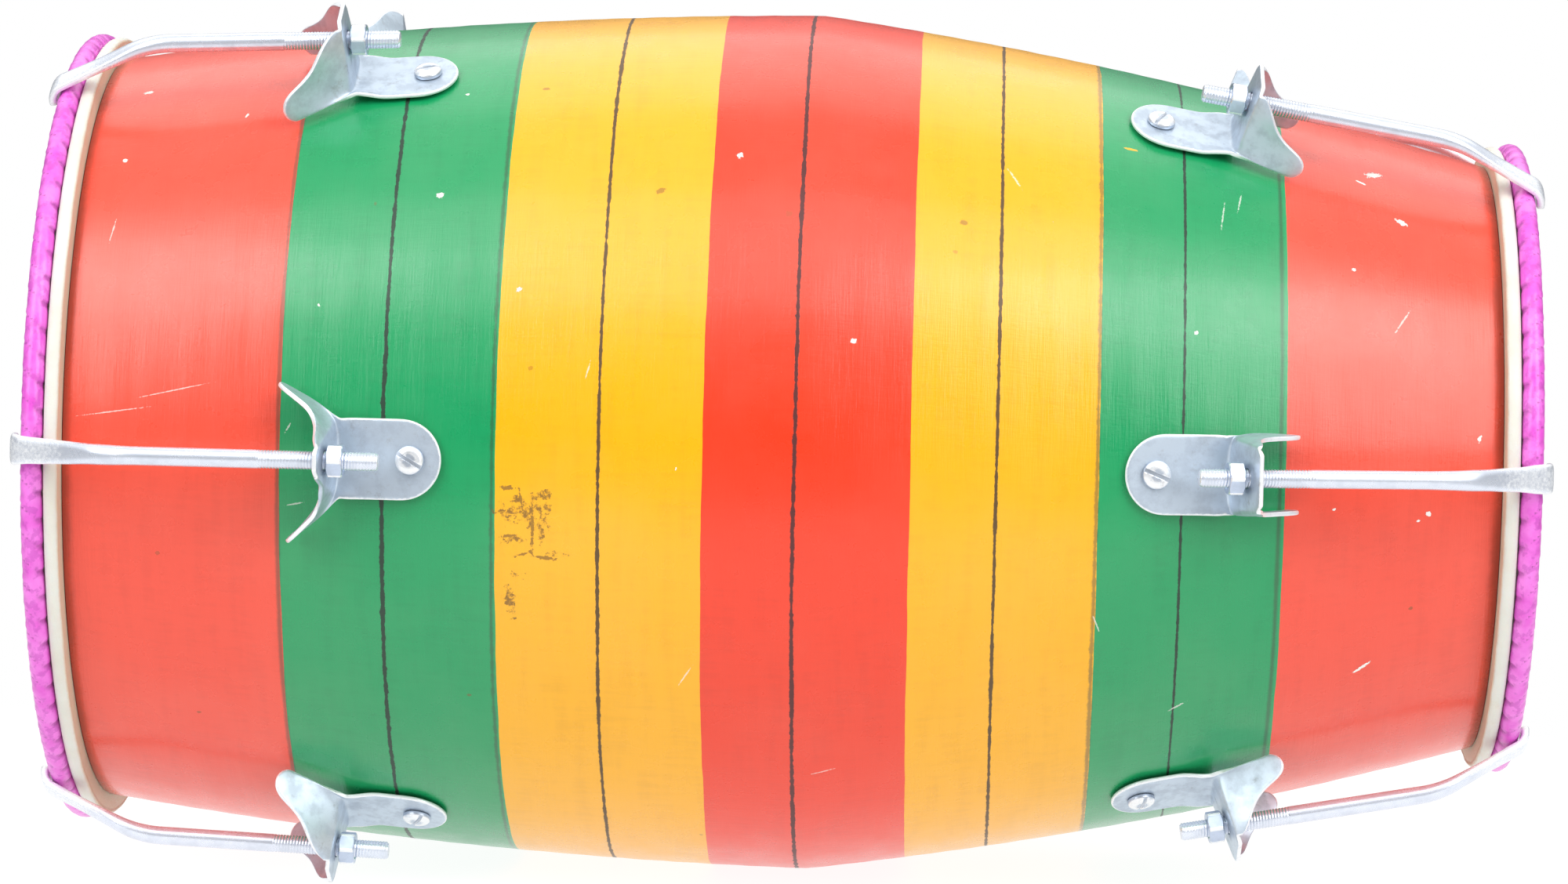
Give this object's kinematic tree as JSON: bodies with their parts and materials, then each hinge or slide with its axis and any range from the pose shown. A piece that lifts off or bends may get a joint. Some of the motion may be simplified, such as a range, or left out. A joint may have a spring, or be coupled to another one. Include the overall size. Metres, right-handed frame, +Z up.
{
  "type": "bolt-tuned barrel drum",
  "caption": "Barrel drum with rawhide heads under taped counter hoops, drawn by beaten hooks whose nuts bear on folded brackets.",
  "frame": {"origin": "on the drum's axis, midway between the middles of the two counter hoops, which is also the centre of the box", "axes": "+X along the drum's axis towards the small treble head; +Z up as the drum lies on its side; -Y faces the camera"},
  "size_m": [0.4948, 0.3299, 0.2918],
  "materials": {
    "painted_shell": "brushed gloss enamel in red, yellow and green bands on turned wood",
    "rawhide": "dry goat rawhide, cream",
    "taped_hoop": "iron ring wound with glossy pink tape",
    "hoop_iron": "plain flat iron",
    "zinc_sheet": "zinc-plated folded sheet, bright worn edges",
    "beaten_rod": "zinc-plated rod, beaten flat at its head end",
    "zinc_nut": "zinc-plated",
    "zinc_screw": "zinc-plated, driver-worn",
    "tuning_paste": "dull black tar-and-clay paste"
  },
  "bodies": {
    "drum": {"shell": "painted_shell", "bass_tuning_paste": "tuning_paste", "bass_skin": "rawhide", "bass_flesh_hoop": "hoop_iron", "bass_counter_hoop": "taped_hoop", "bass_bracket_1": "zinc_sheet", "bass_bracket_2": "zinc_sheet", "bass_bracket_3": "zinc_sheet", "bass_bracket_4": "zinc_sheet", "bass_bracket_5": "zinc_sheet", "bass_bracket_6": "zinc_sheet", "bass_screw_1": "zinc_screw", "bass_screw_2": "zinc_screw", "bass_screw_3": "zinc_screw", "bass_screw_4": "zinc_screw", "bass_screw_5": "zinc_screw", "bass_screw_6": "zinc_screw", "treble_skin": "rawhide", "treble_flesh_hoop": "hoop_iron", "treble_counter_hoop": "taped_hoop", "treble_bracket_1": "zinc_sheet", "treble_bracket_2": "zinc_sheet", "treble_bracket_3": "zinc_sheet", "treble_bracket_4": "zinc_sheet", "treble_bracket_5": "zinc_sheet", "treble_bracket_6": "zinc_sheet", "treble_screw_1": "zinc_screw", "treble_screw_2": "zinc_screw", "treble_screw_3": "zinc_screw", "treble_screw_4": "zinc_screw", "treble_screw_5": "zinc_screw", "treble_screw_6": "zinc_screw"},
    "bass_nut_1": {"bass_nut_1": "zinc_nut"},
    "bass_hook_1": {"bass_hook_1": "beaten_rod"},
    "bass_nut_2": {"bass_nut_2": "zinc_nut"},
    "bass_hook_2": {"bass_hook_2": "beaten_rod"},
    "bass_nut_3": {"bass_nut_3": "zinc_nut"},
    "bass_hook_3": {"bass_hook_3": "beaten_rod"},
    "bass_nut_4": {"bass_nut_4": "zinc_nut"},
    "bass_hook_4": {"bass_hook_4": "beaten_rod"},
    "bass_nut_5": {"bass_nut_5": "zinc_nut"},
    "bass_hook_5": {"bass_hook_5": "beaten_rod"},
    "bass_nut_6": {"bass_nut_6": "zinc_nut"},
    "bass_hook_6": {"bass_hook_6": "beaten_rod"},
    "treble_nut_1": {"treble_nut_1": "zinc_nut"},
    "treble_hook_1": {"treble_hook_1": "beaten_rod"},
    "treble_nut_2": {"treble_nut_2": "zinc_nut"},
    "treble_hook_2": {"treble_hook_2": "beaten_rod"},
    "treble_nut_3": {"treble_nut_3": "zinc_nut"},
    "treble_hook_3": {"treble_hook_3": "beaten_rod"},
    "treble_nut_4": {"treble_nut_4": "zinc_nut"},
    "treble_hook_4": {"treble_hook_4": "beaten_rod"},
    "treble_nut_5": {"treble_nut_5": "zinc_nut"},
    "treble_hook_5": {"treble_hook_5": "beaten_rod"},
    "treble_nut_6": {"treble_nut_6": "zinc_nut"},
    "treble_hook_6": {"treble_hook_6": "beaten_rod"}
  },
  "joints": [
    {"name": "bass_nut_turn_1", "type": "hinge", "parent": "drum", "child": "bass_nut_1", "pos_m": [-0.14349, 0.07705, 0.13346], "axis": [0.999, 0.0218, 0.0378], "range_deg": [0, 2880]},
    {"name": "bass_hook_slide_1", "type": "slide", "parent": "drum", "child": "bass_hook_1", "axis": [-0.999, -0.0218, -0.0378], "range_m": [0, 0.008]},
    {"name": "bass_nut_turn_2", "type": "hinge", "parent": "drum", "child": "bass_nut_2", "pos_m": [-0.14349, 0.15411, 0], "axis": [0.999, 0.0436, 0], "range_deg": [0, 2880]},
    {"name": "bass_hook_slide_2", "type": "slide", "parent": "drum", "child": "bass_hook_2", "axis": [-0.999, -0.0436, 0], "range_m": [0, 0.008]},
    {"name": "bass_nut_turn_3", "type": "hinge", "parent": "drum", "child": "bass_nut_3", "pos_m": [-0.14349, 0.07705, -0.13346], "axis": [0.999, 0.0218, -0.0378], "range_deg": [0, 2880]},
    {"name": "bass_hook_slide_3", "type": "slide", "parent": "drum", "child": "bass_hook_3", "axis": [-0.999, -0.0218, 0.0378], "range_m": [0, 0.008]},
    {"name": "bass_nut_turn_4", "type": "hinge", "parent": "drum", "child": "bass_nut_4", "pos_m": [-0.14563, -0.07695, -0.13327], "axis": [0.999, -0.0218, -0.0378], "range_deg": [0, 2880]},
    {"name": "bass_hook_slide_4", "type": "slide", "parent": "drum", "child": "bass_hook_4", "axis": [-0.999, 0.0218, 0.0378], "range_m": [0, 0.008]},
    {"name": "bass_nut_turn_5", "type": "hinge", "parent": "drum", "child": "bass_nut_5", "pos_m": [-0.14242, -0.15421, 0], "axis": [0.999, -0.0436, 0], "range_deg": [0, 2880]},
    {"name": "bass_hook_slide_5", "type": "slide", "parent": "drum", "child": "bass_hook_5", "axis": [-0.999, 0.0436, 0], "range_m": [0, 0.008]},
    {"name": "bass_nut_turn_6", "type": "hinge", "parent": "drum", "child": "bass_nut_6", "pos_m": [-0.14599, -0.07693, 0.13324], "axis": [0.999, -0.0218, 0.0378], "range_deg": [0, 2880]},
    {"name": "bass_hook_slide_6", "type": "slide", "parent": "drum", "child": "bass_hook_6", "axis": [-0.999, 0.0218, -0.0378], "range_m": [0, 0.008]},
    {"name": "treble_nut_turn_1", "type": "hinge", "parent": "drum", "child": "treble_nut_1", "pos_m": [0.14657, -0.06897, 0.11946], "axis": [-0.9816, -0.0954, 0.1652], "range_deg": [0, 2880]},
    {"name": "treble_hook_slide_1", "type": "slide", "parent": "drum", "child": "treble_hook_1", "axis": [0.9816, 0.0954, -0.1652], "range_m": [0, 0.008]},
    {"name": "treble_nut_turn_2", "type": "hinge", "parent": "drum", "child": "treble_nut_2", "pos_m": [0.1455, -0.13818, 0], "axis": [-0.9816, -0.1908, 0], "range_deg": [0, 2880]},
    {"name": "treble_hook_slide_2", "type": "slide", "parent": "drum", "child": "treble_hook_2", "axis": [0.9816, 0.1908, 0], "range_m": [0, 0.008]},
    {"name": "treble_nut_turn_3", "type": "hinge", "parent": "drum", "child": "treble_nut_3", "pos_m": [0.1455, -0.06909, -0.11967], "axis": [-0.9816, -0.0954, -0.1652], "range_deg": [0, 2880]},
    {"name": "treble_hook_slide_3", "type": "slide", "parent": "drum", "child": "treble_hook_3", "axis": [0.9816, 0.0954, 0.1652], "range_m": [0, 0.008]},
    {"name": "treble_nut_turn_4", "type": "hinge", "parent": "drum", "child": "treble_nut_4", "pos_m": [0.14622, 0.06901, -0.11953], "axis": [-0.9816, 0.0954, -0.1652], "range_deg": [0, 2880]},
    {"name": "treble_hook_slide_4", "type": "slide", "parent": "drum", "child": "treble_hook_4", "axis": [0.9816, -0.0954, 0.1652], "range_m": [0, 0.008]},
    {"name": "treble_nut_turn_5", "type": "hinge", "parent": "drum", "child": "treble_nut_5", "pos_m": [0.14622, 0.13802, 0], "axis": [-0.9816, 0.1908, 0], "range_deg": [0, 2880]},
    {"name": "treble_hook_slide_5", "type": "slide", "parent": "drum", "child": "treble_hook_5", "axis": [0.9816, -0.1908, 0], "range_m": [0, 0.008]},
    {"name": "treble_nut_turn_6", "type": "hinge", "parent": "drum", "child": "treble_nut_6", "pos_m": [0.14622, 0.06901, 0.11953], "axis": [-0.9816, 0.0954, 0.1652], "range_deg": [0, 2880]},
    {"name": "treble_hook_slide_6", "type": "slide", "parent": "drum", "child": "treble_hook_6", "axis": [0.9816, -0.0954, -0.1652], "range_m": [0, 0.008]}
  ],
  "couplings": [
    {"joint": "bass_nut_turn_1", "follows": "bass_hook_slide_1", "rad_per_m": 6283.2},
    {"joint": "bass_nut_turn_2", "follows": "bass_hook_slide_2", "rad_per_m": 6283.2},
    {"joint": "bass_nut_turn_3", "follows": "bass_hook_slide_3", "rad_per_m": 6283.2},
    {"joint": "bass_nut_turn_4", "follows": "bass_hook_slide_4", "rad_per_m": 6283.2},
    {"joint": "bass_nut_turn_5", "follows": "bass_hook_slide_5", "rad_per_m": 6283.2},
    {"joint": "bass_nut_turn_6", "follows": "bass_hook_slide_6", "rad_per_m": 6283.2},
    {"joint": "treble_nut_turn_1", "follows": "treble_hook_slide_1", "rad_per_m": 6283.2},
    {"joint": "treble_nut_turn_2", "follows": "treble_hook_slide_2", "rad_per_m": 6283.2},
    {"joint": "treble_nut_turn_3", "follows": "treble_hook_slide_3", "rad_per_m": 6283.2},
    {"joint": "treble_nut_turn_4", "follows": "treble_hook_slide_4", "rad_per_m": 6283.2},
    {"joint": "treble_nut_turn_5", "follows": "treble_hook_slide_5", "rad_per_m": 6283.2},
    {"joint": "treble_nut_turn_6", "follows": "treble_hook_slide_6", "rad_per_m": 6283.2}
  ]
}
